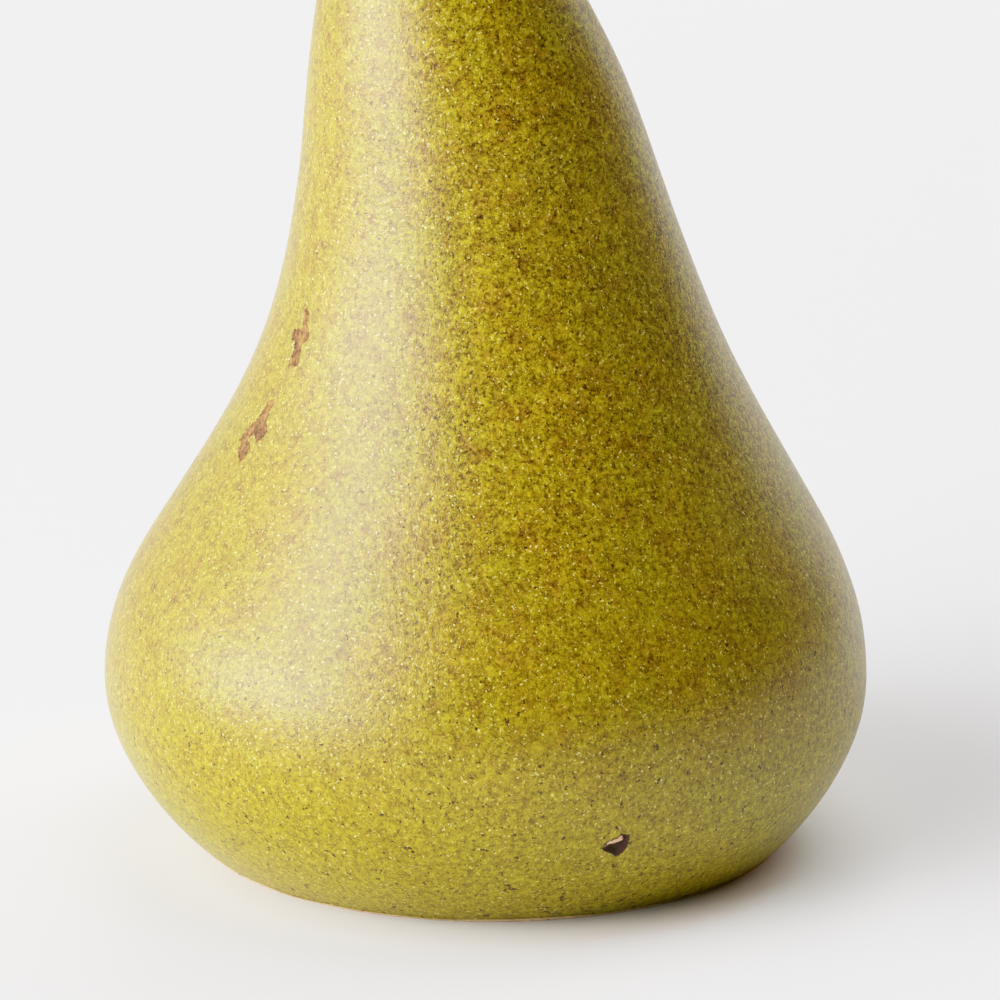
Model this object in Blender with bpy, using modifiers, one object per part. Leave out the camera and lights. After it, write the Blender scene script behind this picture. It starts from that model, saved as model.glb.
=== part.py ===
"""A hollow stoneware pear that stands on its flat bare foot, with a twig stem in its crown.

Metres, +Z up. The origin is on the surface that the pear stands on, under the middle of its belly,
and the neck leans towards -X. Every radius is measured from the pear's leaning centre line.
"""

import math

import bpy
import numpy as np
from mathutils import Vector
from mathutils.geometry import interpolate_bezier

# The body, from the belly upwards: (height, outer radius)
BELLY_HEIGHT = 0.0185
BELLY_RADIUS = 0.0430
FLANK = [
    (BELLY_HEIGHT, BELLY_RADIUS),
    (0.0285, 0.0412),
    (0.0395, 0.0353),
    (0.0520, 0.02825),
    (0.0650, 0.0231),
    (0.0780, 0.01965),
    (0.0880, 0.0173),
    (0.0980, 0.0141),
]

# The centre line's sideways drift: (height, offset along +X)
LEAN = [
    (0.0000, 0.0007),
    (BELLY_HEIGHT, 0.0000),
    (0.0450, 0.0009),
    (0.0750, -0.0005),
    (0.0980, -0.0041),
    (0.1150, -0.0078),
]

# The foot: a broad flat with a small rolled edge, and a firing vent in its middle
FOOT_RADIUS = 0.0328
FOOT_EDGE_ANGLE = math.radians(73.0)
FOOT_EDGE_PULL = 0.0007
BELLY_PULL = 0.0097
VENT_RADIUS = 0.0040

# The crown: a soft rounded top with a shallow dimple round the stem's hole
CROWN_HEIGHT = 0.1125
CROWN_RING_RADIUS = 0.0054
CROWN_PULL = 0.0036
SHOULDER_PULL = 0.0070
DIMPLE_DEPTH = 0.0006
DIMPLE_PULL = 0.0010
SOCKET_RADIUS = 0.0030

# The wall that the pear was thrown or cast with
WALL = 0.0050
FLOOR_RADIUS = 0.0260
FLOOR_PULL = 0.0060
INNER_BELLY_PULL = 0.0070
INNER_CROWN_PULL = 0.0035

# The twig: it fills the hole in the crown with a small gap, and flares at its picked end
FIT_GAP = 0.0003
STEM_TAIL_HEIGHT = CROWN_HEIGHT - WALL
STEM_TAIL_RADIUS = SOCKET_RADIUS - FIT_GAP
STEM_TAIL_POINTS = 2
STEM_TIP = Vector((0.0005, 0.0016, 0.1370))
STEM_TIP_HEADING = Vector((0.35, 0.15, 1.0)).normalized()
STEM_THICKNESS = [1.0, 1.0, 0.89, 0.75, 0.71, 0.82, 1.15]
STEM_BEND_POINTS = 16

# How finely the curves are cut
TURN_STEPS = 56
FLANK_STEPS = 18
FOOT_STEPS = 7
CROWN_STEPS = 6
DIMPLE_STEPS = 3
INNER_FLANK_STEPS = 9
INNER_END_STEPS = 5

GLAZE_COLOUR = (0.434, 0.333, 0.029, 1.0)
GLAZE_ROUGHNESS = 0.38
TWIG_COLOUR = (0.105, 0.058, 0.030, 1.0)
TWIG_ROUGHNESS = 0.80


def clear_scene():
    """Start from an empty scene."""
    for obj in list(bpy.data.objects):
        bpy.data.objects.remove(obj, do_unlink=True)


def cubic_through(stations, start_slope=None):
    """Return value(x) and slope(x) of the cubic spline through (x, y) stations.

    The spline's ends are free, or its first end has the slope that is asked for.
    """
    xs = np.array([x for x, _ in stations])
    ys = np.array([y for _, y in stations])
    gaps = np.diff(xs)
    rises = np.diff(ys) / gaps
    count = len(xs)
    matrix = np.zeros((count, count))
    target = np.zeros(count)
    for i in range(1, count - 1):
        matrix[i, i - 1] = gaps[i - 1]
        matrix[i, i] = 2.0 * (gaps[i - 1] + gaps[i])
        matrix[i, i + 1] = gaps[i]
        target[i] = 6.0 * (rises[i] - rises[i - 1])
    matrix[0, 0] = 1.0
    matrix[-1, -1] = 1.0
    if start_slope is not None:
        matrix[0, 0] = 2.0 * gaps[0]
        matrix[0, 1] = gaps[0]
        target[0] = 6.0 * (rises[0] - start_slope)
    bends = np.linalg.solve(matrix, target)

    def place(x):
        i = int(np.clip(np.searchsorted(xs, x) - 1, 0, count - 2))
        return i, x - xs[i]

    def value(x):
        i, step = place(x)
        climb = rises[i] - gaps[i] * (2.0 * bends[i] + bends[i + 1]) / 6.0
        twist = (bends[i + 1] - bends[i]) / (6.0 * gaps[i])
        return float(ys[i] + step * (climb + step * (bends[i] / 2.0 + step * twist)))

    def slope(x):
        i, step = place(x)
        climb = rises[i] - gaps[i] * (2.0 * bends[i] + bends[i + 1]) / 6.0
        twist = (bends[i + 1] - bends[i]) / (6.0 * gaps[i])
        return float(climb + step * (bends[i] + 3.0 * step * twist))

    return value, slope


flank_radius, flank_slope = cubic_through(FLANK, start_slope=0.0)
lean, lean_slope = cubic_through(LEAN)


def sweep(start, start_handle, end_handle, end, steps):
    """Points (radius, height) along a Bezier curve, without its first point."""
    corners = [Vector((r, z, 0.0)) for r, z in (start, start_handle, end_handle, end)]
    curve = interpolate_bezier(*corners, steps + 1)
    return [(point.x, point.y) for point in curve[1:]]


def outer_profile():
    """The outside, from the stem's hole down to the foot's edge."""
    shoulder = FLANK[-1][0]
    shoulder_radius = flank_radius(shoulder)
    along = Vector((flank_slope(shoulder), 1.0)).normalized() * SHOULDER_PULL
    hole_edge = (SOCKET_RADIUS, CROWN_HEIGHT - DIMPLE_DEPTH)
    ring = (CROWN_RING_RADIUS, CROWN_HEIGHT)
    points = [hole_edge]
    points += sweep(
        hole_edge,
        (hole_edge[0] + DIMPLE_PULL, hole_edge[1]),
        (ring[0] - DIMPLE_PULL, ring[1]),
        ring,
        DIMPLE_STEPS,
    )
    points += sweep(
        ring,
        (ring[0] + CROWN_PULL, ring[1]),
        (shoulder_radius + along.x, shoulder + along.y),
        (shoulder_radius, shoulder),
        CROWN_STEPS,
    )
    for height in np.linspace(shoulder, BELLY_HEIGHT, FLANK_STEPS + 1)[1:]:
        points.append((flank_radius(height), float(height)))
    points += sweep(
        (BELLY_RADIUS, BELLY_HEIGHT),
        (BELLY_RADIUS, BELLY_HEIGHT - BELLY_PULL),
        (
            FOOT_RADIUS + FOOT_EDGE_PULL * math.sin(FOOT_EDGE_ANGLE),
            FOOT_EDGE_PULL * math.cos(FOOT_EDGE_ANGLE),
        ),
        (FOOT_RADIUS, 0.0),
        FOOT_STEPS,
    )
    return points


def inner_profile():
    """The inside, from the vent up over the floor and the wall to the stem's hole."""
    shoulder = FLANK[-1][0]
    inner_belly = BELLY_RADIUS - WALL
    neck_radius = flank_radius(shoulder) - WALL
    points = [(VENT_RADIUS, 0.0), (VENT_RADIUS, WALL), (FLOOR_RADIUS, WALL)]
    points += sweep(
        (FLOOR_RADIUS, WALL),
        (FLOOR_RADIUS + FLOOR_PULL, WALL),
        (inner_belly, BELLY_HEIGHT - INNER_BELLY_PULL),
        (inner_belly, BELLY_HEIGHT),
        INNER_END_STEPS,
    )
    for height in np.linspace(BELLY_HEIGHT, shoulder, INNER_FLANK_STEPS + 1)[1:]:
        points.append((flank_radius(height) - WALL, float(height)))
    points += sweep(
        (neck_radius, shoulder),
        (neck_radius, shoulder + INNER_CROWN_PULL),
        (SOCKET_RADIUS + INNER_CROWN_PULL, CROWN_HEIGHT - WALL),
        (SOCKET_RADIUS, CROWN_HEIGHT - WALL),
        INNER_END_STEPS,
    )
    return points


def make_material(name, colour, roughness):
    """A plain material in the finish's main colour."""
    material = bpy.data.materials.new(name)
    material.diffuse_color = colour
    material.use_nodes = True
    shader = material.node_tree.nodes["Principled BSDF"]
    shader.inputs["Base Color"].default_value = colour
    shader.inputs["Roughness"].default_value = roughness
    shader.inputs["Metallic"].default_value = 0.0
    return material


def turned(name, profile):
    """Turn a closed profile of (radius, height) points round the Z axis."""
    mesh = bpy.data.meshes.new(name)
    count = len(profile)
    mesh.from_pydata(
        [(radius, 0.0, height) for radius, height in profile],
        [(i, (i + 1) % count) for i in range(count)],
        [],
    )
    blank = bpy.data.objects.new(name, mesh)
    bpy.context.scene.collection.objects.link(blank)
    screw = blank.modifiers.new("Turn", "SCREW")
    screw.axis = "Z"
    screw.angle = math.tau
    screw.steps = TURN_STEPS
    screw.render_steps = TURN_STEPS
    screw.use_merge_vertices = True
    screw.merge_threshold = 0.00001
    graph = bpy.context.evaluated_depsgraph_get()
    result = bpy.data.meshes.new_from_object(blank.evaluated_get(graph))
    bpy.data.objects.remove(blank, do_unlink=True)
    result.name = name
    return result


def make_body(collection):
    """The hollow pear: a turned wall, pushed sideways so that its neck leans."""
    mesh = turned("pear_body", outer_profile() + inner_profile())
    for vertex in mesh.vertices:
        vertex.co.x += lean(vertex.co.z)
    mesh.shade_smooth()
    mesh.set_sharp_from_angle(angle=math.radians(35.0))
    mesh.materials.append(make_material("satin_olive_glaze", GLAZE_COLOUR, GLAZE_ROUGHNESS))
    body = bpy.data.objects.new("pear_body", mesh)
    collection.objects.link(body)
    return body


def make_stem(collection):
    """The twig: it follows the crown's centre line out of its hole, then bends to its tip."""
    rim = CROWN_HEIGHT
    tail = Vector((lean(STEM_TAIL_HEIGHT), 0.0, STEM_TAIL_HEIGHT))
    out = Vector((lean(rim), 0.0, rim))
    heading = Vector((lean_slope(rim), 0.0, 1.0)).normalized()
    reach = (STEM_TIP - out).length / 3.0
    bend = interpolate_bezier(
        out,
        out + heading * reach,
        STEM_TIP - STEM_TIP_HEADING * reach,
        STEM_TIP,
        STEM_BEND_POINTS,
    )
    route = [tail.lerp(out, i / STEM_TAIL_POINTS) for i in range(STEM_TAIL_POINTS)] + list(bend)
    lengths = [0.0]
    for start, end in zip(route, route[1:]):
        lengths.append(lengths[-1] + (end - start).length)
    stations = np.linspace(0.0, lengths[-1], len(STEM_THICKNESS))

    curve = bpy.data.curves.new("stem", "CURVE")
    curve.dimensions = "3D"
    curve.fill_mode = "FULL"
    curve.use_fill_caps = True
    curve.bevel_depth = STEM_TAIL_RADIUS
    curve.bevel_resolution = 4
    spline = curve.splines.new("POLY")
    spline.points.add(len(route) - 1)
    for point, place, length in zip(spline.points, route, lengths):
        point.co = (*place, 1.0)
        point.radius = float(np.interp(length, stations, STEM_THICKNESS))
    curve.materials.append(make_material("dried_twig_bark", TWIG_COLOUR, TWIG_ROUGHNESS))
    stem = bpy.data.objects.new("stem", curve)
    collection.objects.link(stem)
    return stem


clear_scene()
pear = bpy.data.collections.new("Pear")
bpy.context.scene.collection.children.link(pear)
make_body(pear)
make_stem(pear)
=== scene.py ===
"""The looks of a hollow stoneware pear with a speckled satin glaze and a twig stem.

Everything is in metres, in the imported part's own frame: +Z up, the pear standing on Z = 0, its neck
leaning towards -X, and the camera looking along +Y and down.
"""

import math

import bpy
import numpy as np
from mathutils import Euler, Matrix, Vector, noise
from mathutils.bvhtree import BVHTree
from mathutils.geometry import interpolate_bezier


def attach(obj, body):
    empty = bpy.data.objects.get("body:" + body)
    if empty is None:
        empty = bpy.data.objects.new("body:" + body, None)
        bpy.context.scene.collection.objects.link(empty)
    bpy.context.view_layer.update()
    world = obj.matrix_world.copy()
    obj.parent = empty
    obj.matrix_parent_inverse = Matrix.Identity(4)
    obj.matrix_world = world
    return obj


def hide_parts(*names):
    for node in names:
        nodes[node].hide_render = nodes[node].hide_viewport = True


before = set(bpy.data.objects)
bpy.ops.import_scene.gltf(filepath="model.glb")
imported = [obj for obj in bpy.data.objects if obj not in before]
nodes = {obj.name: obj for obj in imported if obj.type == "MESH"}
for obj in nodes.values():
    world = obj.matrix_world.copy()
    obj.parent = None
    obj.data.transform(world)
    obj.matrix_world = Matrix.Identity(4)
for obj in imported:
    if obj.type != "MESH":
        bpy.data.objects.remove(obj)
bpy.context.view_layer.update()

# The camera. The pear stands on a pale floor and is seen from a little above with a long lens, so
# near that its crown and stem are above the picture's upper edge.
CAMERA_PITCH = math.radians(16.0)
CAMERA_DISTANCE = 0.800
CAMERA_AIM = Vector((0.00164, 0.0, 0.03846))
LENS_PIXELS = 7130.0
SENSOR_WIDTH = 36.0
PICTURE_SIZE = 1000

# The camera's response to light: a little less than its due in the shadows, least of all in blue, and
# a soft shoulder in the highlights. REACH is the brightest light that it tells from white, and STOPS
# are the lights at which its curve is set. Each blue is a pair of what comes in and what is shown.
RESPONSE_GAMMA = 1.23
RESPONSE_REACH = 3.2
RESPONSE_STOPS = [0.02, 0.06, 0.12, 0.22, 0.36, 0.54, 0.80, 1.10, 1.50, 2.0, 2.6]
BLUE_RESPONSE = [(0.005, 0.0012), (0.012, 0.0072), (0.03, 0.026), (0.10, 0.097)]

away = Vector((0.0, math.cos(CAMERA_PITCH), -math.sin(CAMERA_PITCH)))
upward = Vector((0.0, math.sin(CAMERA_PITCH), math.cos(CAMERA_PITCH)))
camera_place = CAMERA_AIM - away * CAMERA_DISTANCE
lens = bpy.data.cameras.new("long_lens")
lens.sensor_width = SENSOR_WIDTH
lens.lens = LENS_PIXELS * SENSOR_WIDTH / PICTURE_SIZE
lens.clip_start = 0.05
lens.clip_end = 30.0
camera = bpy.data.objects.new("camera", lens)
camera.location = camera_place
camera.rotation_euler = Euler((math.pi / 2.0 - CAMERA_PITCH, 0.0, 0.0))
bpy.context.scene.collection.objects.link(camera)
bpy.context.scene.camera = camera


def response(light):
    """How bright the camera shows light, from 0 to 1."""
    return 1.0 - math.exp(-light ** RESPONSE_GAMMA)


view = bpy.context.scene.view_settings
view.view_transform = "Standard"
view.use_curve_mapping = True
view.curve_mapping.white_level = (RESPONSE_REACH, RESPONSE_REACH, RESPONSE_REACH)
all_channels = view.curve_mapping.curves[3]
all_channels.points[-1].location.y = response(RESPONSE_REACH)
for light in RESPONSE_STOPS:
    all_channels.points.new(light / RESPONSE_REACH, response(light))
blue_channel = view.curve_mapping.curves[2]
for blue, shown in BLUE_RESPONSE:
    blue_channel.points.new(blue, shown)
view.curve_mapping.update()


def picture_place(points):
    """Where points (an N x 3 array, in metres) stand in the picture, in pixels."""
    offset = points - np.array(camera_place)
    depth = offset @ np.array(away)
    across = PICTURE_SIZE / 2.0 + LENS_PIXELS * offset[:, 0] / depth
    down = PICTURE_SIZE / 2.0 - LENS_PIXELS * (offset @ np.array(upward)) / depth
    return np.stack([across, down], axis=1)


# The stoneware body. A real one is slip cast or thrown from speckled buff stoneware, hollow, with a
# wall of about 5 mm, a flat foot and a firing vent. It is dipped in glaze and its foot wiped bare, so
# the glaze ends in a thick rolled lip just over the clay line that the pear stands on.
BELLY_HEIGHT = 0.0185
BELLY_RADIUS = 0.0430
FLANK = [
    (BELLY_HEIGHT, BELLY_RADIUS),
    (0.0285, 0.0412),
    (0.0395, 0.0353),
    (0.0520, 0.02825),
    (0.0650, 0.0231),
    (0.0780, 0.01965),
    (0.0880, 0.0173),
    (0.0980, 0.0141),
]
LEAN = [
    (0.0000, 0.0007),
    (BELLY_HEIGHT, 0.0000),
    (0.0450, 0.0009),
    (0.0750, -0.0005),
    (0.0980, -0.0041),
    (0.1150, -0.0078),
]
FOOT_RADIUS = 0.0328
FOOT_EDGE_ANGLE = math.radians(73.0)
FOOT_EDGE_PULL = 0.0007
BELLY_PULL = 0.0097
VENT_RADIUS = 0.0040
CROWN_HEIGHT = 0.1125
CROWN_RING_RADIUS = 0.0054
CROWN_PULL = 0.0036
SHOULDER_PULL = 0.0070
DIMPLE_DEPTH = 0.0006
DIMPLE_PULL = 0.0010
SOCKET_RADIUS = 0.0030
WALL = 0.0050
FLOOR_RADIUS = 0.0260
FLOOR_PULL = 0.0060
INNER_BELLY_PULL = 0.0070
INNER_CROWN_PULL = 0.0035
LIP_HEIGHT = 0.00044
LIP_ROLL = 0.00016
LIP_OVERHANG = 0.00014
CLAY_BEVEL = 0.00012
LIP_WANDER = 0.00005
CLAY_SET_BACK = 0.00004
CLAY_DROP = 0.00008
CLAY_TAPER = 0.00012
VENT_BEVEL = 0.0004
VENT_INNER_BEVEL = 0.0006

# How many steps the outline takes round the dimple, over the crown, down the flank and under the belly
DIMPLE_STEPS = 40
CROWN_STEPS = 200
FLANK_STEPS = 1200
UNDERSIDE_STEPS = 800


def cubic_through(stations, start_slope=None):
    """Return value(xs) and slope(xs) of the cubic spline through (x, y) stations."""
    xs = np.array([x for x, _ in stations])
    ys = np.array([y for _, y in stations])
    gaps = np.diff(xs)
    rises = np.diff(ys) / gaps
    count = len(xs)
    matrix = np.eye(count)
    target = np.zeros(count)
    for i in range(1, count - 1):
        matrix[i, i - 1:i + 2] = gaps[i - 1], 2.0 * (gaps[i - 1] + gaps[i]), gaps[i]
        target[i] = 6.0 * (rises[i] - rises[i - 1])
    if start_slope is not None:
        matrix[0, :2] = 2.0 * gaps[0], gaps[0]
        target[0] = 6.0 * (rises[0] - start_slope)
    bends = np.linalg.solve(matrix, target)
    climbs = rises - gaps * (2.0 * bends[:-1] + bends[1:]) / 6.0
    twists = np.diff(bends) / (6.0 * gaps)

    def value(x):
        i = np.clip(np.searchsorted(xs, x) - 1, 0, count - 2)
        step = x - xs[i]
        return ys[i] + step * (climbs[i] + step * (bends[i] / 2.0 + step * twists[i]))

    def slope(x):
        i = np.clip(np.searchsorted(xs, x) - 1, 0, count - 2)
        step = x - xs[i]
        return climbs[i] + step * (bends[i] + 3.0 * step * twists[i])

    return value, slope


flank_radius, flank_slope = cubic_through(FLANK, start_slope=0.0)
lean, lean_slope = cubic_through(LEAN)


def sweep(start, start_handle, end_handle, end, steps):
    """Points (radius, height) along a Bezier curve, without its first point."""
    corners = [Vector((r, z, 0.0)) for r, z in (start, start_handle, end_handle, end)]
    curve = interpolate_bezier(*corners, steps + 1)
    return [(point.x, point.y) for point in curve[1:]]


def glazed_profile():
    """The glazed outside as a close line of points, from the stem's hole to over the foot's edge."""
    shoulder = FLANK[-1][0]
    shoulder_radius = float(flank_radius(shoulder))
    along = Vector((float(flank_slope(shoulder)), 1.0)).normalized() * SHOULDER_PULL
    hole_edge = (SOCKET_RADIUS, CROWN_HEIGHT - DIMPLE_DEPTH)
    ring = (CROWN_RING_RADIUS, CROWN_HEIGHT)
    points = [hole_edge]
    points += sweep(
        hole_edge,
        (hole_edge[0] + DIMPLE_PULL, hole_edge[1]),
        (ring[0] - DIMPLE_PULL, ring[1]),
        ring,
        DIMPLE_STEPS,
    )
    points += sweep(
        ring,
        (ring[0] + CROWN_PULL, ring[1]),
        (shoulder_radius + along.x, shoulder + along.y),
        (shoulder_radius, shoulder),
        CROWN_STEPS,
    )
    heights = np.linspace(shoulder, BELLY_HEIGHT, FLANK_STEPS)[1:]
    points += list(zip(flank_radius(heights), heights))
    foot = sweep(
        (BELLY_RADIUS, BELLY_HEIGHT),
        (BELLY_RADIUS, BELLY_HEIGHT - BELLY_PULL),
        (
            FOOT_RADIUS + FOOT_EDGE_PULL * math.sin(FOOT_EDGE_ANGLE),
            FOOT_EDGE_PULL * math.cos(FOOT_EDGE_ANGLE),
        ),
        (FOOT_RADIUS, 0.0),
        UNDERSIDE_STEPS,
    )
    return np.array(points + [point for point in foot if point[1] > LIP_HEIGHT])


def bare_profile(lip):
    """The rolled lip, the clay line, the foot, the vent and the inside, as few points as they need."""
    shoulder = FLANK[-1][0]
    inner_belly = BELLY_RADIUS - WALL
    neck_radius = float(flank_radius(shoulder)) - WALL
    roll = [
        (lip[0] - LIP_ROLL * (1.0 - math.cos(turn)), lip[1] - LIP_ROLL * math.sin(turn))
        for turn in np.linspace(0.0, math.pi / 2.0, 5)[1:]
    ]
    clay_radius = lip[0] - LIP_OVERHANG
    glaze_end = (clay_radius, lip[1] - LIP_ROLL)
    clay = [
        (clay_radius - CLAY_SET_BACK, lip[1] - LIP_ROLL - CLAY_DROP),
        (clay_radius - CLAY_TAPER, CLAY_BEVEL),
        (clay_radius - CLAY_TAPER - CLAY_BEVEL, 0.0),
    ]
    floor = [(radius, 0.0) for radius in np.linspace(clay[-1][0], VENT_RADIUS + VENT_BEVEL, 9)[1:]]
    vent = [
        (VENT_RADIUS, VENT_BEVEL),
        (VENT_RADIUS, WALL - VENT_INNER_BEVEL),
        (VENT_RADIUS + VENT_INNER_BEVEL, WALL),
    ]
    inside = [(FLOOR_RADIUS, WALL)]
    inside += sweep(
        (FLOOR_RADIUS, WALL),
        (FLOOR_RADIUS + FLOOR_PULL, WALL),
        (inner_belly, BELLY_HEIGHT - INNER_BELLY_PULL),
        (inner_belly, BELLY_HEIGHT),
        5,
    )
    heights = np.linspace(BELLY_HEIGHT, shoulder, 10)[1:]
    inside += list(zip(flank_radius(heights) - WALL, heights))
    inside += sweep(
        (neck_radius, shoulder),
        (neck_radius, shoulder + INNER_CROWN_PULL),
        (SOCKET_RADIUS + INNER_CROWN_PULL, CROWN_HEIGHT - WALL),
        (SOCKET_RADIUS, CROWN_HEIGHT - WALL),
        5,
    )
    return roll + [glaze_end], clay + floor + vent + inside


def spaced(length, coarse, windows):
    """Places from 0 to length, coarse apart, and closer in each window (middle, half width, step)."""
    fine = np.linspace(0.0, length, 4001)
    density = np.full(fine.shape, 1.0 / coarse)
    # Each window fades out over half its half width more
    for middle, half_width, step in windows:
        nearness = np.clip(1.5 - np.abs(fine - middle) / half_width, 0.0, 0.5) * 2.0
        density = np.maximum(density, nearness / step)
    total = np.concatenate([[0.0], np.cumsum((density[1:] + density[:-1]) / 2.0 * np.diff(fine))])
    count = int(math.ceil(total[-1]))
    return np.interp(np.linspace(0.0, total[-1], count + 1), total, fine)


# Faults in the glaze, as the picture shows them, in its pixels: two scars where the glaze crawled off
# the clay, and one burst pit with a ledge of pale clay in it.
UPPER_SCAR = [
    (306.5, 308), (308.5, 312), (308, 318), (305.5, 324), (308.5, 328), (309, 336), (305, 341),
    (301, 345), (300, 352), (299, 360), (296.5, 367), (292, 364.5), (287.5, 366.5), (288.5, 361),
    (292.5, 353), (295, 347), (294, 341), (291, 336), (292, 330), (298, 329), (303, 327),
    (302.5, 321), (303, 314),
]
LOWER_SCAR = [
    (275, 399), (272, 406), (268, 413), (266, 421), (267, 431), (262, 438), (256, 443), (255, 432),
    (247, 438), (250, 446), (246, 455), (240, 463), (238, 452), (241, 443), (240, 440), (246, 430),
    (257, 420), (264, 410), (267, 402),
]
PIT = [
    (600.5, 848.0), (606, 846), (606, 841.4), (612, 839.4), (617, 837.2), (619.6, 835.2), (621, 833),
    (630, 834), (629, 841), (627.5, 847), (622, 853), (617, 856.5), (610, 854), (604, 851),
]
PIT_LEDGE = [
    (607.4, 845.3), (608, 842.7), (613, 841.3), (618, 839.3), (622.3, 836.8), (624.2, 840.6),
    (618.5, 843.2), (613, 844.7),
]
PIT_NEEDLE = (616.6, 827.8)
NEEDLE_PIXELS = 1.6
SCARS_MIDDLE = (275.0, 385.0)
PIT_MIDDLE = (615.0, 845.0)

# How far the mesh's rows and columns stand apart, and the half width of each band where they stand
# closer, with their distance there
ROW_GAP = 0.00105
SCAR_ROWS = (0.0085, 0.00026)
PIT_ROWS = (0.0026, 0.00013)
LIP_ROWS = (0.0012, 0.00016)
HOLE_ROWS = (0.0020, 0.00030)
COLUMN_GAP = math.radians(1.45)
SCAR_COLUMNS = (math.radians(13.0), math.radians(0.55))
PIT_COLUMNS = (math.radians(4.0), math.radians(0.20))

# The faults' depths in metres, and how far inside their outlines, in millimetres, each wall starts and
# ends. The pit has a raised rim a little outside its outline, in millimetres too, and its ledge fills
# a share of its depth. Places that the camera can't see are as good as far from any fault, in pixels.
SCAR_DEPTH = 0.00010
SCAR_WALL = (-0.12, 0.15)
PIT_DEPTH = 0.00060
PIT_WALL = (-0.04, 0.75)
PIT_RIM = 0.00008
RIM_PLACE = 0.22
RIM_WIDTH = 0.16
LEDGE_RISE = 0.75
LEDGE_WALL = (-0.10, 0.06)
UNSEEN = 50.0
HAND_WAVES = [
    # length and height of the unevenness that the maker's hands left
    (0.0190, 0.00013),
    (0.0075, 0.00005),
]
LIP_WAVES = [
    # waves round the foot, share of the lip's wander, start
    (5.0, 1.0, 0.6),
    (11.0, 0.7, 0.0),
    (23.0, 0.5, 2.0),
]

# The heights between which the unevenness sets in, so that the foot stays flat, and how sharp an edge
# has to be to show as one
WAVES_START = (0.0008, 0.0060)
SHARP_FROM = math.radians(50.0)

ware_tree = BVHTree.FromObject(nodes["pear_body"], bpy.context.evaluated_depsgraph_get())


def on_ware(pixel):
    """The point of the pear that the picture shows at a pixel."""
    across = (pixel[0] - PICTURE_SIZE / 2.0) / LENS_PIXELS
    rise = (PICTURE_SIZE / 2.0 - pixel[1]) / LENS_PIXELS
    ray = (away + Vector((across, 0.0, 0.0)) + upward * rise).normalized()
    return ware_tree.ray_cast(camera_place, ray)[0]


def outline_distance(places, outline):
    """Signed distance in pixels from places to a closed outline, negative inside it."""
    corners = np.array(outline, float)
    nearest = np.full(len(places), 1e9)
    inside = np.zeros(len(places), bool)
    for start, end in zip(corners, np.roll(corners, -1, axis=0)):
        side = end - start
        share = np.clip(((places - start) @ side) / (side @ side), 0.0, 1.0)
        gap = np.linalg.norm(places - (start + share[:, None] * side), axis=1)
        nearest = np.minimum(nearest, gap)
        crosses = (places[:, 1] < start[1]) != (places[:, 1] < end[1])
        with np.errstate(divide="ignore", invalid="ignore"):
            cut = start[0] + (places[:, 1] - start[1]) * side[0] / side[1]
        inside ^= crosses & (places[:, 0] < cut)
    return np.where(inside, -nearest, nearest)


def ease(values, low, high):
    """Smooth steps from 0 at low to 1 at high."""
    share = np.clip((values - low) / (high - low), 0.0, 1.0)
    return share * share * (3.0 - 2.0 * share)


def ware_mesh():
    """The whole body as one closed mesh of rows and columns, close set where the faults are."""
    line = glazed_profile()
    travel = np.concatenate([[0.0], np.cumsum(np.linalg.norm(np.diff(line, axis=0), axis=1))])
    # From here down the height only falls, so that each height has one place on the line
    below_crown = travel > travel[-1] / 3.0

    def travel_at(height):
        return float(np.interp(-height, -line[below_crown, 1], travel[below_crown]))

    def angle_at(point):
        return math.atan2(point.x - float(lean(point.z)), -point.y) % math.tau

    scar = on_ware(SCARS_MIDDLE)
    pit = on_ware(PIT_MIDDLE)
    row_windows = [
        (travel_at(scar.z), *SCAR_ROWS),
        (travel_at(pit.z), *PIT_ROWS),
        (travel[-1], *LIP_ROWS),
        (0.0, *HOLE_ROWS),
    ]
    turn_windows = [(angle_at(scar), *SCAR_COLUMNS), (angle_at(pit), *PIT_COLUMNS)]
    rows = spaced(travel[-1], ROW_GAP, row_windows)
    turns = spaced(math.tau, COLUMN_GAP, turn_windows)[:-1]
    glazed = [tuple(place) for place in zip(
        np.interp(rows, travel, line[:, 0]), np.interp(rows, travel, line[:, 1])
    )]
    roll, bare = bare_profile(glazed[-1])
    profile = np.array(glazed + roll + bare)
    glazed_rows = len(glazed) + len(roll)
    radius, height = profile[:, :1], profile[:, 1:]
    across = lean(height) + radius * np.sin(turns)
    back = -radius * np.cos(turns)
    up = np.repeat(height, len(turns), axis=1)
    places = np.stack([across, back, up], axis=-1).reshape(-1, 3)

    row_count, column_count = len(profile), len(turns)
    row = np.arange(row_count)[:, None]
    column = np.arange(column_count)[None, :]
    next_row, next_column = (row + 1) % row_count, (column + 1) % column_count
    faces = np.stack([
        row * column_count + column,
        next_row * column_count + column,
        next_row * column_count + next_column,
        row * column_count + next_column,
    ], axis=-1).reshape(-1, 4)
    mesh = bpy.data.meshes.new("stoneware_pear")
    mesh.from_pydata(places.tolist(), [], faces.tolist())
    slots = np.where(np.arange(row_count) < glazed_rows - 1, 0, 1).repeat(column_count)
    mesh.polygons.foreach_set("material_index", slots.astype(np.int32))
    mesh.update()
    return mesh, places, glazed_rows * column_count


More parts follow.
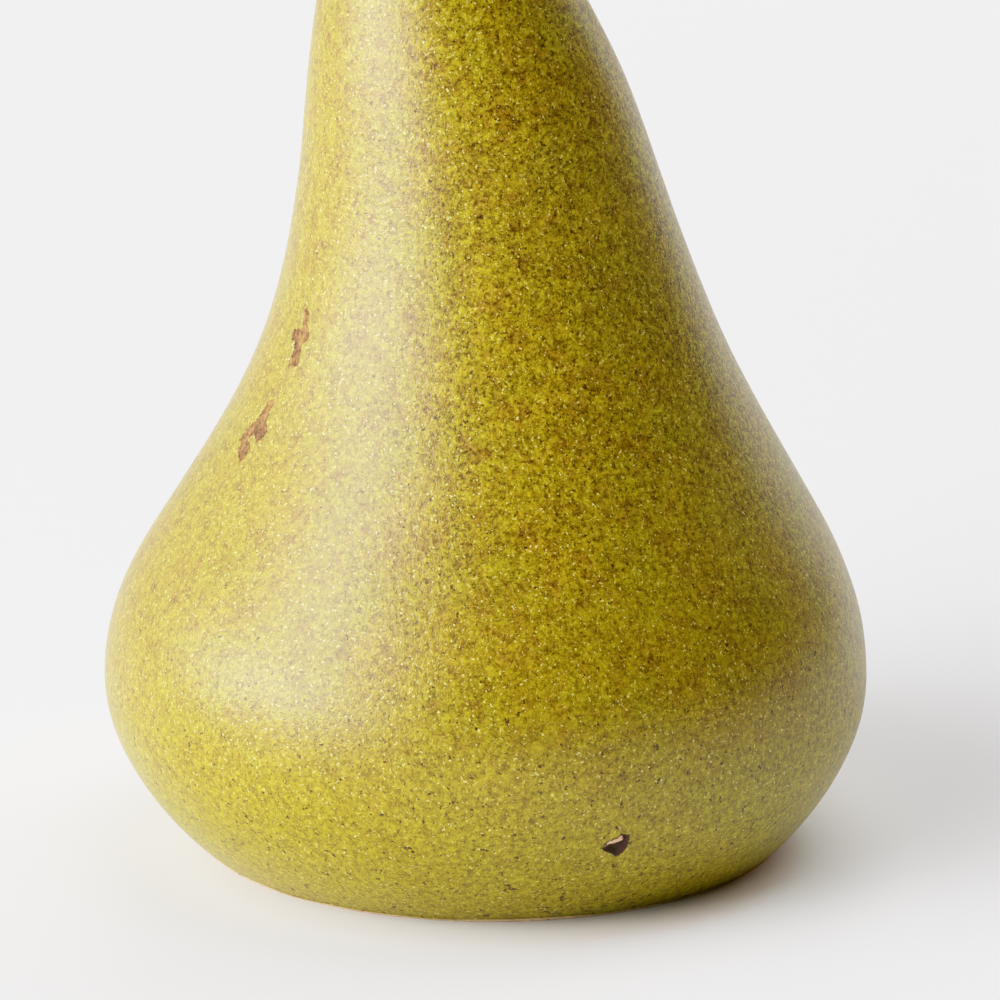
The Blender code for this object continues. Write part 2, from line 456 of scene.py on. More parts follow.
def shape_by_hand(mesh, places, glazed_count):
    """Press the maker's unevenness and the glaze's faults into the outside, and mark the faults."""
    normals = np.zeros(len(places) * 3)
    mesh.vertex_normals.foreach_get("vector", normals)
    normals = normals.reshape(-1, 3)
    skin = np.arange(len(places)) < glazed_count
    seen = skin & (((np.array(camera_place) - places) * normals).sum(axis=1) > 0.0)
    pixels = picture_place(places)
    per_pixel = CAMERA_DISTANCE / LENS_PIXELS
    scar = np.minimum(outline_distance(pixels, UPPER_SCAR), outline_distance(pixels, LOWER_SCAR))
    pit = outline_distance(pixels, PIT)
    needle = np.linalg.norm(pixels - np.array(PIT_NEEDLE), axis=1) - NEEDLE_PIXELS
    ledge = outline_distance(pixels, PIT_LEDGE)
    fields = {"scar": scar, "pit": np.minimum(pit, needle), "ledge": ledge}
    for name, gaps in fields.items():
        gaps = np.where(seen, gaps, UNSEEN) * per_pixel * 1000.0
        fields[name] = gaps
        marks = mesh.attributes.new(name, "FLOAT", "POINT")
        marks.data.foreach_set("value", gaps.astype(np.float32))

    press = SCAR_DEPTH * ease(-fields["scar"], *SCAR_WALL)
    hollow = PIT_DEPTH * ease(-fields["pit"], *PIT_WALL)
    hollow = hollow * (1.0 - LEDGE_RISE * ease(-fields["ledge"], *LEDGE_WALL))
    rim = PIT_RIM * np.exp(-((fields["pit"] - RIM_PLACE) / RIM_WIDTH) ** 2)
    waves = np.zeros(len(places))
    for i in np.nonzero(skin)[0]:
        place = Vector(places[i])
        waves[i] = sum(high * noise.noise(place / long) for long, high in HAND_WAVES)
    set_in = ease(places[:, 2], *WAVES_START)
    moved = places + normals * (waves * set_in - press - hollow + rim)[:, None]
    turn = np.arctan2(places[:, 0], -places[:, 1])
    wander = sum(share * np.sin(count * turn + start) for count, share, start in LIP_WAVES)
    near_lip = ease(2.0 * LIP_HEIGHT - places[:, 2], 0.0, LIP_HEIGHT)
    moved[:, 2] += np.where(skin, LIP_WANDER * wander * near_lip, 0.0)
    mesh.vertices.foreach_set("co", moved.astype(np.float32).ravel())
    mesh.update()


def hex_colour(code):
    """A colour from its sRGB hex code, as linear light with full opacity."""
    parts = [int(code[i:i + 2], 16) / 255.0 for i in (1, 3, 5)]
    light = [p / 12.92 if p <= 0.04045 else ((p + 0.055) / 1.055) ** 2.4 for p in parts]
    return (*light, 1.0)


def add(tree, kind, inputs=None, out=0, **settings):
    """Add a node to a tree, with its settings and its inputs as values or links; give an output."""
    made = tree.nodes.new("ShaderNode" + kind)
    for name, value in settings.items():
        setattr(made, name, value)
    for name, value in (inputs or {}).items():
        if isinstance(value, bpy.types.NodeSocket):
            tree.links.new(value, made.inputs[name])
        else:
            made.inputs[name].default_value = value
    return made.outputs[out]


# A Mix node that mixes colours takes them in its inputs 6 and 7, and gives the mix in its output 2
UNDER, OVER, MIXED = 6, 7, 2


def per_mm(size):
    """The texture scale that gives marks of a size in millimetres on coordinates in metres."""
    return 1000.0 / size


def satin_olive_glaze():
    """Iron glaze over speckled stoneware, fired satin.

    To the eye it is olive yellow, peppered all over with iron specks and cream crystals, with brown
    blooms where the iron gathered and a broad milky gloss, because the fine crystals scatter it.
    """
    material = bpy.data.materials.new("satin_olive_iron_glaze")
    material.use_nodes = True
    tree = material.node_tree
    shader = tree.nodes["Principled BSDF"]
    place = add(tree, "TexCoord", out="Object")
    across = add(tree, "SeparateXYZ", {"Vector": place}, out="X")
    height = add(tree, "SeparateXYZ", {"Vector": place}, out="Z")

    # Olive where the glaze is thick, ochre where it thinned in the fire
    clouds = add(tree, "TexNoise", {
        "Vector": place, "Scale": per_mm(9.0), "Detail": 3.0, "Roughness": 0.6,
    })
    thinned = add(tree, "MapRange", {
        "Value": clouds, "From Min": 0.34, "From Max": 0.66,
    }, interpolation_type="SMOOTHSTEP")
    colour = add(tree, "Mix", {
        "Factor": thinned, UNDER: hex_colour("#9a881c"), OVER: hex_colour("#9e851b"),
    }, out=MIXED, data_type="RGBA")

    # Iron blooms: soft brown patches up to two millimetres wide, thicker in some drifts than in others
    drifts = add(tree, "TexNoise", {
        "Vector": add(tree, "VectorMath", {0: place, 1: (0.3, 0.1, 0.2)}),
        "Scale": per_mm(7.0), "Detail": 2.0,
    })
    bloom_noise = add(tree, "TexNoise", {
        "Vector": add(tree, "VectorMath", {0: place, 1: (0.1, 0.4, 0.0)}),
        "Scale": per_mm(1.9), "Detail": 3.0, "Roughness": 0.70,
    })
    drifted = add(tree, "MapRange", {
        "Value": drifts, "From Min": 0.35, "From Max": 0.65, "To Min": -0.015, "To Max": 0.015,
    })
    blooms = add(tree, "MapRange", {
        "Value": add(tree, "Math", {0: bloom_noise, 1: drifted}), "From Min": 0.44, "From Max": 0.68,
    }, interpolation_type="SMOOTHSTEP")
    colour = add(tree, "Mix", {
        "Factor": add(tree, "Math", {0: blooms, 1: 0.50}, operation="MULTIPLY"),
        UNDER: colour, OVER: hex_colour("#7c4e1e"),
    }, out=MIXED, data_type="RGBA")

    # Greener near the foot, where the glaze ran together and covers the blooms
    pooled = add(tree, "MapRange", {
        "Value": height, "From Min": 0.002, "From Max": 0.034, "To Min": 0.80, "To Max": 0.0,
    }, interpolation_type="SMOOTHSTEP")
    colour = add(tree, "Mix", {
        "Factor": pooled, UNDER: colour, OVER: hex_colour("#9e9008"),
    }, out=MIXED, data_type="RGBA")

    # The melt's grain, which darkens and lightens the glaze. The real grain is about a tenth of a
    # millimetre; this one runs from 0.7 mm down to a quarter of that, or the render wouldn't show it
    grain = add(tree, "TexNoise", {
        "Vector": add(tree, "VectorMath", {0: place, 1: (0.5, 0.0, 0.1)}),
        "Scale": per_mm(0.7), "Detail": 2.0, "Roughness": 1.0,
    })
    grain_tone = add(tree, "Mix", {
        "Factor": add(tree, "MapRange", {"Value": grain, "From Min": 0.30, "From Max": 0.70}),
        UNDER: (0.26, 0.16, 0.02, 1.0), OVER: (1.74, 1.84, 2.20, 1.0),
    }, out=MIXED, data_type="RGBA")

    # The grain is fainter low down, and fainter on the -X side, which faces the window lights: that
    # side's fading is painted sheen
    grain_low_fade = add(tree, "MapRange", {
        "Value": height, "From Min": 0.020, "From Max": 0.060, "To Min": 0.68, "To Max": 1.0,
    }, interpolation_type="SMOOTHSTEP")
    # Painted sheen: the grain fades on the -X side, where the window lights shine on the glaze
    painted_sheen_side = add(tree, "MapRange", {
        "Value": across, "From Min": -0.013, "From Max": 0.001, "To Min": 0.62, "To Max": 1.0,
    }, interpolation_type="SMOOTHSTEP")
    grain_fade_and_painted_sheen = add(tree, "Math", {0: grain_low_fade, 1: painted_sheen_side}, operation="MINIMUM")
    colour = add(tree, "Mix", {
        "Factor": grain_fade_and_painted_sheen, UNDER: colour, OVER: grain_tone,
    }, out=MIXED, data_type="RGBA", blend_type="MULTIPLY")

    # Cream crystals and iron specks, ragged and 0.1 to 0.3 mm wide, where the melt ran to one or other
    fine = add(tree, "TexNoise", {
        "Vector": add(tree, "VectorMath", {0: place, 1: (0.2, 0.7, 0.3)}),
        "Scale": per_mm(0.34), "Detail": 1.0, "Roughness": 0.70,
    }, out="Color")
    cream = add(tree, "MapRange", {
        "Value": add(tree, "SeparateColor", {"Color": fine}, out="Red"),
        "From Min": 0.62, "From Max": 0.76, "To Max": 0.9,
    }, interpolation_type="SMOOTHSTEP")
    colour = add(tree, "Mix", {
        "Factor": cream, UNDER: colour, OVER: hex_colour("#eadf88"),
    }, out=MIXED, data_type="RGBA")
    iron_drifted = add(tree, "MapRange", {
        "Value": drifts, "From Min": 0.35, "From Max": 0.65, "To Min": -0.012, "To Max": 0.012,
    })
    iron_noise = add(tree, "Math", {
        0: add(tree, "SeparateColor", {"Color": fine}, out="Green"), 1: iron_drifted,
    })
    iron = add(tree, "MapRange", {
        "Value": iron_noise, "From Min": 0.60, "From Max": 0.74, "To Max": 0.88,
    }, interpolation_type="SMOOTHSTEP")
    # The iron specks fade with the grain, so the painted sheen mutes them on the -X side as well
    colour = add(tree, "Mix", {
        "Factor": add(tree, "Math", {0: iron, 1: grain_fade_and_painted_sheen}, operation="MULTIPLY"),
        UNDER: colour, OVER: hex_colour("#38200a"),
    }, out=MIXED, data_type="RGBA")

    # Pinholes and blackened iron, up to half a millimetre wide, thickest where the glaze pooled
    pinhole_noise = add(tree, "TexNoise", {
        "Vector": add(tree, "VectorMath", {0: place, 1: (0.9, 0.4, 0.1)}),
        "Scale": per_mm(0.80), "Detail": 2.0, "Roughness": 0.7,
    })
    sunk = add(tree, "MapRange", {
        "Value": height, "From Min": 0.004, "From Max": 0.045, "To Min": 0.035, "To Max": -0.02,
    }, interpolation_type="SMOOTHSTEP")
    pinholes = add(tree, "MapRange", {
        "Value": add(tree, "Math", {0: pinhole_noise, 1: sunk}),
        "From Min": 0.655, "From Max": 0.705, "To Max": 0.9,
    }, interpolation_type="SMOOTHSTEP")
    colour = add(tree, "Mix", {
        "Factor": pinholes, UNDER: colour, OVER: hex_colour("#3a1c0c"),
    }, out=MIXED, data_type="RGBA")

    # The thick lip at the foot is a little darker
    lip = add(tree, "MapRange", {
        "Value": height, "From Min": 0.0003, "From Max": 0.0011, "To Min": 0.3, "To Max": 0.0,
    }, interpolation_type="SMOOTHSTEP")
    colour = add(tree, "Mix", {
        "Factor": lip, UNDER: colour, OVER: hex_colour("#554808"),
    }, out=MIXED, data_type="RGBA")

    # The scars show brown clay, the pit burnt glaze, and its ledge pale clay. Each mark is the distance
    # from its outline in millimetres, which the grain makes ragged
    ragged = add(tree, "MapRange", {
        "Value": grain, "From Min": 0.25, "From Max": 0.75, "To Min": -0.11, "To Max": 0.11,
    })
    marks = {}
    for name, inner, outer in (("scar", 0.00, 0.08), ("pit", -0.10, 0.03), ("ledge", 0.02, 0.09)):
        distance = add(tree, "Math", {
            0: add(tree, "Attribute", out="Fac", attribute_name=name), 1: ragged,
        })
        marks[name] = add(tree, "MapRange", {
            "Value": distance, "From Min": inner, "From Max": outer, "To Min": 1.0, "To Max": 0.0,
        }, interpolation_type="SMOOTHSTEP")
    scar_clay = add(tree, "Mix", {
        "Factor": blooms, UNDER: hex_colour("#886132"), OVER: hex_colour("#624226"),
    }, out=MIXED, data_type="RGBA")
    scar_clay = add(tree, "Mix", {
        "Factor": 1.0, UNDER: scar_clay, OVER: grain_tone,
    }, out=MIXED, data_type="RGBA", blend_type="MULTIPLY")
    colour = add(tree, "Mix", {
        "Factor": marks["scar"], UNDER: colour, OVER: scar_clay,
    }, out=MIXED, data_type="RGBA")
    colour = add(tree, "Mix", {
        "Factor": marks["pit"], UNDER: colour, OVER: hex_colour("#432a2a"),
    }, out=MIXED, data_type="RGBA")
    colour = add(tree, "Mix", {
        "Factor": add(tree, "Math", {0: marks["ledge"], 1: marks["pit"]}, operation="MULTIPLY"),
        UNDER: colour, OVER: hex_colour("#ecc29c"),
    }, out=MIXED, data_type="RGBA")

    # Satin: a broad soft gloss, broken up by the grain, and none on bare clay
    bare = add(tree, "Math", {0: marks["scar"], 1: marks["pit"]}, operation="MAXIMUM")
    gloss = add(tree, "MapRange", {"Value": bare, "To Min": 0.34, "To Max": 0.80})
    bump = add(tree, "Bump", {"Height": grain, "Strength": 0.7, "Distance": 0.00011})

    tree.links.new(colour, shader.inputs["Base Color"])
    tree.links.new(gloss, shader.inputs["Roughness"])
    tree.links.new(bump, shader.inputs["Normal"])
    shader.inputs["IOR"].default_value = 1.57
    return material


def bare_stoneware():
    """Unglazed buff stoneware, wiped with a sponge: matt and sandy, with a few iron grains."""
    material = bpy.data.materials.new("bare_buff_stoneware")
    material.use_nodes = True
    tree = material.node_tree
    shader = tree.nodes["Principled BSDF"]
    place = add(tree, "TexCoord", out="Object")
    sand = add(tree, "TexNoise", {
        "Vector": place, "Scale": per_mm(0.6), "Detail": 4.0, "Roughness": 0.7,
    })
    clay = add(tree, "Mix", {
        "Factor": add(tree, "MapRange", {"Value": sand, "From Min": 0.35, "From Max": 0.65}),
        UNDER: hex_colour("#c9a880"), OVER: hex_colour("#e2cba8"),
    }, out=MIXED, data_type="RGBA")
    grains = add(tree, "TexVoronoi", {"Vector": place, "Scale": per_mm(1.5)})
    iron = add(tree, "MapRange", {
        "Value": grains, "From Min": 0.08, "From Max": 0.15, "To Min": 0.8, "To Max": 0.0,
    })
    clay = add(tree, "Mix", {
        "Factor": iron, UNDER: clay, OVER: hex_colour("#6b4a35"),
    }, out=MIXED, data_type="RGBA")
    bump = add(tree, "Bump", {"Height": sand, "Strength": 0.6, "Distance": 0.0001})
    tree.links.new(clay, shader.inputs["Base Color"])
    tree.links.new(bump, shader.inputs["Normal"])
    shader.inputs["Roughness"].default_value = 0.88
    return material


ware, ware_places, glazed_count = ware_mesh()
shape_by_hand(ware, ware_places, glazed_count)
ware.shade_smooth()
ware.set_sharp_from_angle(angle=SHARP_FROM)
ware.materials.append(satin_olive_glaze())
ware.materials.append(bare_stoneware())
pear = bpy.data.objects.new("stoneware_pear", ware)
bpy.context.scene.collection.objects.link(pear)
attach(pear, "root")
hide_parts("pear_body")

# The twig stem. A real one is a dried twig with its bark on, cut square at the top and glued into the
# hole in the crown: a collar of bark swells round each of its two bud scars, the bark has shrunk into
# lengthwise wrinkles, and the cut shows buff wood round a dark pith.
TWIG_TAIL_HEIGHT = CROWN_HEIGHT - WALL
TWIG_GLUE_GAP = 0.0003
TWIG_TAIL_RADIUS = SOCKET_RADIUS - TWIG_GLUE_GAP
TWIG_TIP = Vector((0.0005, 0.0016, 0.1370))
TWIG_TIP_HEADING = Vector((0.35, 0.15, 1.0)).normalized()
TWIG_THICKNESS = [1.0, 1.0, 0.89, 0.75, 0.71, 0.82, 1.15]
TWIG_ROWS = 150
TWIG_SIDES = 56
TWIG_CUT_BEVEL = 0.00018
TWIG_CUT_RINGS = 9
TWIG_TAIL_STEPS = 12
TWIG_BEND_STEPS = 60
PITH_RADIUS = 0.00055
PITH_WALL = (0.7 * PITH_RADIUS, 1.3 * PITH_RADIUS)
PITH_SINK = 0.00022
SAW_MARK = 0.00003
SAW_MARK_GAP = 0.0004
YEAR_RING_MM = 0.8

# The bark's relief: wrinkles and a fine roughness, each with its depth, its length along the twig and
# how closely it crowds round it, and the swellings at the bud scars, with a groove above each collar.
# It sets in between two heights over the crown, because the wood in the hole is pared smooth.
WRINKLE_DEPTH = 0.00013
WRINKLE_LENGTH = 0.011
WRINKLE_CROWDING = 3.4
WRINKLE_NARROWNESS = 4.0
SKIN_DEPTH = 0.00005
SKIN_LENGTH = 0.0022
SKIN_CROWDING = 9.0
BUD_SCARS = [
    # share of the twig's length, turn round it in degrees
    (0.47, 200.0),
    (0.74, 20.0),
]
COLLAR_SWELL = 0.00022
COLLAR_WIDTH = 0.00075
GROOVE_DEPTH = 0.6 * COLLAR_SWELL
GROOVE_PLACE = 0.0012
GROOVE_WIDTH = 0.00045
BUD_SWELL = 0.00060
BUD_WIDTH = 0.0011
BUD_TURN = 0.42
BARK_STARTS = (0.0002, 0.0020)


def twig_route():
    """Points along the twig's middle, from its end inside the pear to its cut tip."""
    tail = Vector((float(lean(TWIG_TAIL_HEIGHT)), 0.0, TWIG_TAIL_HEIGHT))
    out = Vector((float(lean(CROWN_HEIGHT)), 0.0, CROWN_HEIGHT))
    heading = Vector((float(lean_slope(CROWN_HEIGHT)), 0.0, 1.0)).normalized()
    reach = (TWIG_TIP - out).length / 3.0
    bend = interpolate_bezier(
        out, out + heading * reach, TWIG_TIP - TWIG_TIP_HEADING * reach, TWIG_TIP, TWIG_BEND_STEPS
    )
    straight = [tail.lerp(out, i / TWIG_TAIL_STEPS) for i in range(TWIG_TAIL_STEPS)]
    return np.array(straight + list(bend))


def bark_swell(share, angle, length, bare_height):
    """How far the bark stands out at a place: wrinkles, collars, buds and a fine roughness."""
    side = Vector((math.cos(angle), math.sin(angle), 0.0))
    along = share * length
    fold = noise.noise(side * WRINKLE_CROWDING + Vector((0.0, 0.0, along / WRINKLE_LENGTH)))
    fine = noise.noise(side * SKIN_CROWDING + Vector((0.0, 0.0, along / SKIN_LENGTH)))
    swell = -WRINKLE_DEPTH * (1.0 - min(1.0, abs(fold) * WRINKLE_NARROWNESS)) + SKIN_DEPTH * fine
    for scar_share, scar_turn in BUD_SCARS:
        off = (share - scar_share) * length
        turned = (angle - math.radians(scar_turn) + math.pi) % math.tau - math.pi
        swell += COLLAR_SWELL * math.exp(-(off / COLLAR_WIDTH) ** 2)
        swell -= GROOVE_DEPTH * math.exp(-((off - GROOVE_PLACE) / GROOVE_WIDTH) ** 2)
        swell += BUD_SWELL * math.exp(-(off / BUD_WIDTH) ** 2 - (turned / BUD_TURN) ** 2)
    return swell * float(ease(bare_height, *BARK_STARTS))


def twig_mesh():
    """The twig as one closed tube, with a bevelled cut end and its pith."""
    route = twig_route()
    travel = np.concatenate([[0.0], np.cumsum(np.linalg.norm(np.diff(route, axis=0), axis=1))])
    length = travel[-1]
    stations = [(length * i / (len(TWIG_THICKNESS) - 1), TWIG_TAIL_RADIUS * thick)
                for i, thick in enumerate(TWIG_THICKNESS)]
    thickness, _ = cubic_through(stations)
    middles, shares = [], np.linspace(0.0, 1.0, TWIG_ROWS)
    for share in shares:
        middles.append(Vector([np.interp(share * length, travel, route[:, k]) for k in range(3)]))
    angles = np.linspace(0.0, math.tau, TWIG_SIDES + 1)[:-1]
    places, side = [], Vector((1.0, 0.0, 0.0))
    for i, share in enumerate(shares):
        heading = (middles[min(i + 1, TWIG_ROWS - 1)] - middles[max(i - 1, 0)]).normalized()
        side = (side - heading * side.dot(heading)).normalized()
        other = heading.cross(side)
        bare_height = middles[i].z - CROWN_HEIGHT
        for angle in angles:
            radius = float(thickness(share * length)) + bark_swell(share, angle, length, bare_height)
            places.append(middles[i] + (side * math.cos(angle) + other * math.sin(angle)) * radius)
    rim = places[-TWIG_SIDES:]
    middle = sum(rim, Vector()) / TWIG_SIDES
    for ring in range(TWIG_CUT_RINGS):
        for corner in rim:
            reach = (corner - middle).length - TWIG_CUT_BEVEL
            inward = reach * (1.0 - ring / TWIG_CUT_RINGS)
            spoke = (corner - middle).normalized() * inward
            saw = SAW_MARK * noise.noise((middle + spoke) / SAW_MARK_GAP)
            pith = PITH_SINK * (1.0 - float(ease(inward, *PITH_WALL)))
            places.append(middle + spoke + heading * (TWIG_CUT_BEVEL + saw - pith))
    rows = len(places) // TWIG_SIDES
    faces = []
    for row in range(rows - 1):
        for k in range(TWIG_SIDES):
            after = (k + 1) % TWIG_SIDES
            low, high = row * TWIG_SIDES, (row + 1) * TWIG_SIDES
            faces.append((low + k, low + after, high + after, high + k))
    faces.append(tuple(reversed(range(TWIG_SIDES))))
    faces.append(tuple(range((rows - 1) * TWIG_SIDES, rows * TWIG_SIDES)))
    mesh = bpy.data.meshes.new("twig_stem")
    mesh.from_pydata(places, [], faces)
    cut_from = TWIG_ROWS * TWIG_SIDES
    for face in mesh.polygons:
        face.material_index = int(min(face.vertices) >= cut_from)
    out_share = mesh.attributes.new("from_pith", "FLOAT", "POINT")
    out_share.data.foreach_set("value", [(place - middle).length * 1000.0 for place in places])
    mesh.update()
    return mesh


def dry_bark():
    """Dried bark of a fruit twig: brown grey skin, matt, with pale corky lenticels."""
    material = bpy.data.materials.new("dry_fruitwood_bark")
    material.use_nodes = True
    tree = material.node_tree
    shader = tree.nodes["Principled BSDF"]
    place = add(tree, "TexCoord", out="Object")
    streaks = add(tree, "TexNoise", {
        "Vector": add(tree, "VectorMath", {0: place, 1: (1.0, 1.0, 0.16)}, operation="MULTIPLY"),
        "Scale": per_mm(0.9), "Detail": 4.0, "Roughness": 0.65,
    })
    skin = add(tree, "ValToRGB", {"Fac": streaks})
    dark, pale = skin.node.color_ramp.elements
    dark.position, dark.color = 0.32, hex_colour("#35231a")
    pale.position, pale.color = 0.70, hex_colour("#8a6a4c")
    skin.node.color_ramp.elements.new(0.50).color = hex_colour("#5e4230")
    corks = add(tree, "TexVoronoi", {
        "Vector": add(tree, "VectorMath", {0: place, 1: (1.0, 1.0, 0.6)}, operation="MULTIPLY"),
        "Scale": per_mm(1.7),
    })
    cork = add(tree, "MapRange", {
        "Value": corks, "From Min": 0.10, "From Max": 0.18, "To Min": 1.0, "To Max": 0.0,
    })
    colour = add(tree, "Mix", {
        "Factor": cork, UNDER: skin, OVER: hex_colour("#a98c68"),
    }, out=MIXED, data_type="RGBA")
    relief = add(tree, "Math", {0: cork, 1: 0.4, 2: streaks}, operation="MULTIPLY_ADD")
    bump = add(tree, "Bump", {"Height": relief, "Strength": 0.8, "Distance": 0.0002})
    tree.links.new(colour, shader.inputs["Base Color"])
    tree.links.new(bump, shader.inputs["Normal"])
    shader.inputs["Roughness"].default_value = 0.78
    return material


def cut_wood():
    """Sawn end of the twig: buff end grain, year rings 0.8 mm apart and a dark pith."""
    material = bpy.data.materials.new("sawn_fruitwood_end_grain")
    material.use_nodes = True
    tree = material.node_tree
    shader = tree.nodes["Principled BSDF"]
    from_pith = add(tree, "Attribute", out="Fac", attribute_name="from_pith")
    turns = add(tree, "Math", {0: from_pith, 1: math.tau / YEAR_RING_MM}, operation="MULTIPLY")
    wave = add(tree, "Math", {0: turns}, operation="SINE")
    wood = add(tree, "ValToRGB", {"Fac": add(tree, "MapRange", {"Value": wave, "From Min": -1.0})})
    late, early = wood.node.color_ramp.elements
    late.color, early.color = hex_colour("#a98258"), hex_colour("#c7a577")
    pith = add(tree, "MapRange", {
        "Value": from_pith, "From Min": 0.45, "From Max": 0.62, "To Min": 1.0, "To Max": 0.0,
    })
    colour = add(tree, "Mix", {
        "Factor": pith, UNDER: wood, OVER: hex_colour("#4c3422"),
    }, out=MIXED, data_type="RGBA")
    tree.links.new(colour, shader.inputs["Base Color"])
    shader.inputs["Roughness"].default_value = 0.8
    return material


twig = twig_mesh()
twig.shade_smooth()
twig.set_sharp_from_angle(angle=SHARP_FROM)
twig.materials.append(dry_bark())
twig.materials.append(cut_wood())
stem = bpy.data.objects.new("twig_stem", twig)
bpy.context.scene.collection.objects.link(stem)
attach(stem, "root")
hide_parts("stem")

# The studio. Softboxes curve round the left in two rows, like a tall window. One stands low behind,
# three at the back right rim the glaze, and a large one hangs above and behind. The floor is frosted
# white acrylic, dead matt, and is lit from below too, as on a light table.
STUDIO_SIDES = 96
STUDIO_FLOOR_RADIUS = 6.0
FLOOR_COLOUR = "#e4e2e4"

# The floor's glow. Round the front of the foot it fades out, which is a painted contact shadow, and the
# little glow left beside the foot is tinted warm, a painted warm bounce from the clay. Past the
# softboxes, whose light ends there, it is brighter, so that the floor stays pale as far as the room's
# wall.
FLOOR_GLOW = 0.24
GLOW_COLOUR = "#fffeff"
PAINTED_BOUNCE_COLOUR = "#ffb09a"
PAINTED_SHADOW_MIDDLE = (0.0015, -0.0080, 0.0)
PAINTED_SHADOW_FULL_TO = 0.0265
PAINTED_SHADOW_ENDS_AT = 0.0365
FAR_GLOW = 1.45
FAR_GLOW_STARTS = 0.95
FAR_GLOW_WHOLE = 1.35

WALL_RADIUS = 5.9
WALL_HEIGHT = 6.0
SKY_COLOUR = "#f4f3f5"
SKY_STRENGTH = 0.02
LIT_PLACE = Vector((0.0, 0.0, 0.04))
LIGHT_DISTANCE = 1.30
PANE_SIZE = 0.45
CEILING_SIZE = 1.00
SOFT_LIGHTS = [
    # name, azimuth, elevation, side, watts
    ("window_low", -140.0, 12.0, PANE_SIZE, 1.1),
    ("window_low", -120.0, 12.0, PANE_SIZE, 1.6),
    ("window_low", -100.0, 12.0, PANE_SIZE, 3.7),
    ("window_low", -80.0, 12.0, PANE_SIZE, 8.9),
    ("window_low", -60.0, 12.0, PANE_SIZE, 10.2),
    ("window_low", -40.0, 12.0, PANE_SIZE, 6.3),
    ("window_high", -100.0, 38.0, PANE_SIZE, 2.5),
    ("window_high", -80.0, 38.0, PANE_SIZE, 5.4),
    ("window_high", -60.0, 38.0, PANE_SIZE, 8.6),
    ("window_high", -40.0, 38.0, PANE_SIZE, 5.4),
    ("behind", 180.0, 12.0, PANE_SIZE, 9.5),
    ("back_right", 120.0, 38.0, PANE_SIZE, 2.4),
    ("back_right", 140.0, 38.0, PANE_SIZE, 1.4),
    ("back_right", 140.0, 12.0, PANE_SIZE, 1.5),
    ("ceiling", 155.0, 65.0, CEILING_SIZE, 12.6),
]


def round_pear(radius, height):
    """The corners of a ring round the pear."""
    turns = np.linspace(0.0, math.tau, STUDIO_SIDES, endpoint=False)
    return [(radius * math.cos(turn), radius * math.sin(turn), height) for turn in turns]


def floor_acrylic_with_painted_shadow():
    """Frosted white acrylic over a light table: pale and with no gloss at all, and with a painted
    contact shadow where its glow fades round the pear's foot.
    """
    material = bpy.data.materials.new("white_acrylic_under_painted_shadow")
    material.use_nodes = True
    tree = material.node_tree
    shader = tree.nodes["Principled BSDF"]
    place = add(tree, "TexCoord", out="Object")
    distance = add(tree, "VectorMath", {
        0: place, 1: PAINTED_SHADOW_MIDDLE,
    }, out="Value", operation="DISTANCE")
    # Painted contact shadow: the glow fades out round the front of the foot
    outside_painted_shadow = add(tree, "MapRange", {
        "Value": distance, "From Min": PAINTED_SHADOW_FULL_TO, "From Max": PAINTED_SHADOW_ENDS_AT,
    }, interpolation_type="SMOOTHSTEP")
    strength = add(tree, "MapRange", {
        "Value": distance, "From Min": FAR_GLOW_STARTS, "From Max": FAR_GLOW_WHOLE,
        "To Min": FLOOR_GLOW, "To Max": FAR_GLOW,
    }, interpolation_type="SMOOTHSTEP")
    glow = add(tree, "Math", {0: outside_painted_shadow, 1: strength}, operation="MULTIPLY")
    # Inside the painted shadow the glow turns warm, a painted bounce of light from the clay
    tint = add(tree, "Mix", {
        "Factor": outside_painted_shadow, UNDER: hex_colour(PAINTED_BOUNCE_COLOUR), OVER: hex_colour(GLOW_COLOUR),
    }, out=MIXED, data_type="RGBA")
    tree.links.new(tint, shader.inputs["Emission Color"])
    tree.links.new(glow, shader.inputs["Emission Strength"])
    shader.inputs["Base Color"].default_value = hex_colour(FLOOR_COLOUR)
    shader.inputs["Roughness"].default_value = 0.9
    shader.inputs["Specular IOR Level"].default_value = 0.0
    return material


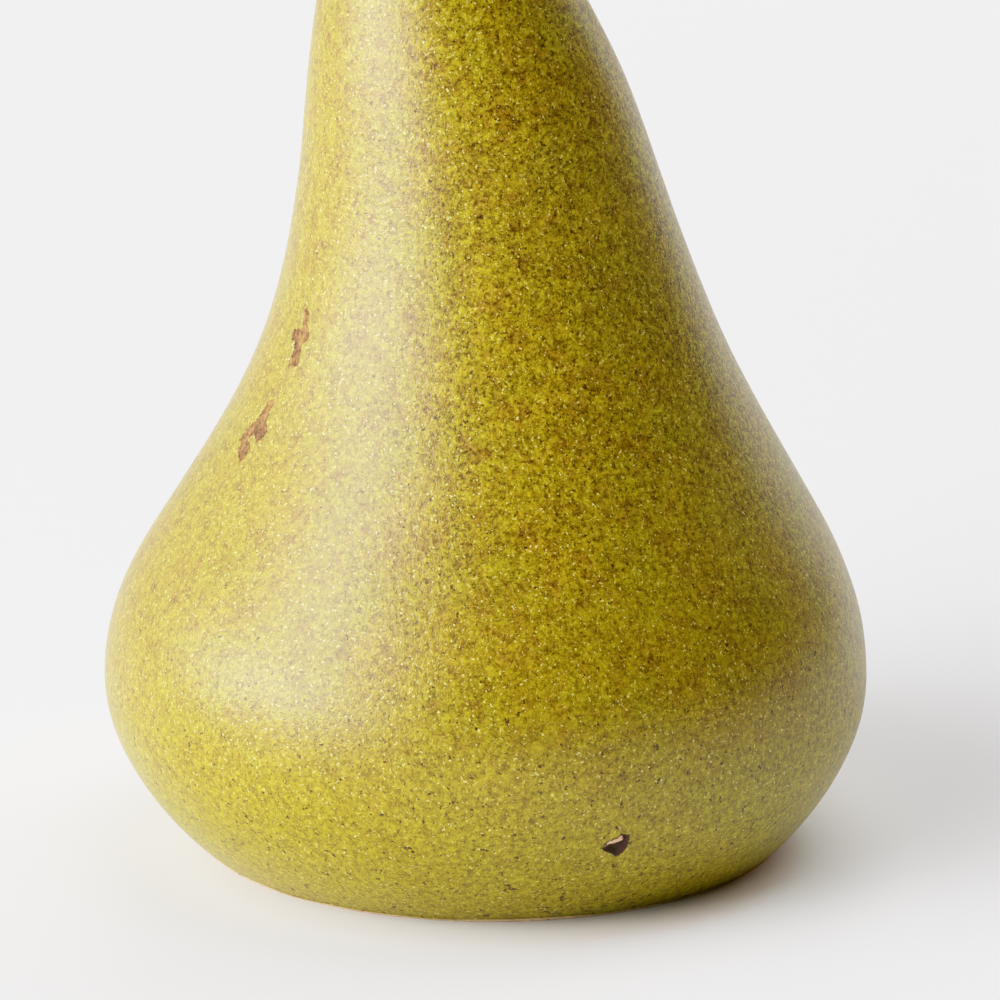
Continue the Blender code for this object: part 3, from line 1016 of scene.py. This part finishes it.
def lit_wall_paint():
    """White emulsion paint under a wash of light, as pale as the floor in front of it."""
    material = bpy.data.materials.new("lit_white_wall_paint")
    material.use_nodes = True
    shader = material.node_tree.nodes["Principled BSDF"]
    shader.inputs["Base Color"].default_value = hex_colour(FLOOR_COLOUR)
    shader.inputs["Emission Color"].default_value = hex_colour(GLOW_COLOUR)
    shader.inputs["Emission Strength"].default_value = FAR_GLOW
    return material


floor_mesh = bpy.data.meshes.new("studio_floor")
floor_mesh.from_pydata(round_pear(STUDIO_FLOOR_RADIUS, 0.0), [], [tuple(range(STUDIO_SIDES))])
floor_mesh.materials.append(floor_acrylic_with_painted_shadow())
studio_floor = bpy.data.objects.new("studio_floor", floor_mesh)
bpy.context.scene.collection.objects.link(studio_floor)

# Only the camera sees the wall, so it adds no light to the pear
wall_faces = []
for low in range(STUDIO_SIDES):
    after = (low + 1) % STUDIO_SIDES
    wall_faces.append((low, after, STUDIO_SIDES + after, STUDIO_SIDES + low))
wall_mesh = bpy.data.meshes.new("studio_wall")
wall_corners = round_pear(WALL_RADIUS, 0.0) + round_pear(WALL_RADIUS, WALL_HEIGHT)
wall_mesh.from_pydata(wall_corners, [], wall_faces)
wall_mesh.materials.append(lit_wall_paint())
studio_wall = bpy.data.objects.new("studio_wall", wall_mesh)
studio_wall.visible_diffuse = False
studio_wall.visible_glossy = False
studio_wall.visible_transmission = False
studio_wall.visible_shadow = False
bpy.context.scene.collection.objects.link(studio_wall)

sky = bpy.data.worlds.new("soft_white_room")
sky.use_nodes = True
sky_light = sky.node_tree.nodes["Background"]
sky_light.inputs["Color"].default_value = hex_colour(SKY_COLOUR)
sky_light.inputs["Strength"].default_value = SKY_STRENGTH
bpy.context.scene.world = sky

for name, azimuth, elevation, side, watts in SOFT_LIGHTS:
    turn, rise = math.radians(azimuth), math.radians(elevation)
    heading = Vector((
        math.sin(turn) * math.cos(rise), -math.cos(turn) * math.cos(rise), math.sin(rise),
    ))
    softbox = bpy.data.lights.new(name, "AREA")
    softbox.shape = "SQUARE"
    softbox.size = side
    softbox.energy = watts
    lamp = bpy.data.objects.new(name, softbox)
    lamp.location = LIT_PLACE + heading * LIGHT_DISTANCE
    lamp.rotation_euler = (-heading).to_track_quat("-Z", "Y").to_euler()
    bpy.context.scene.collection.objects.link(lamp)
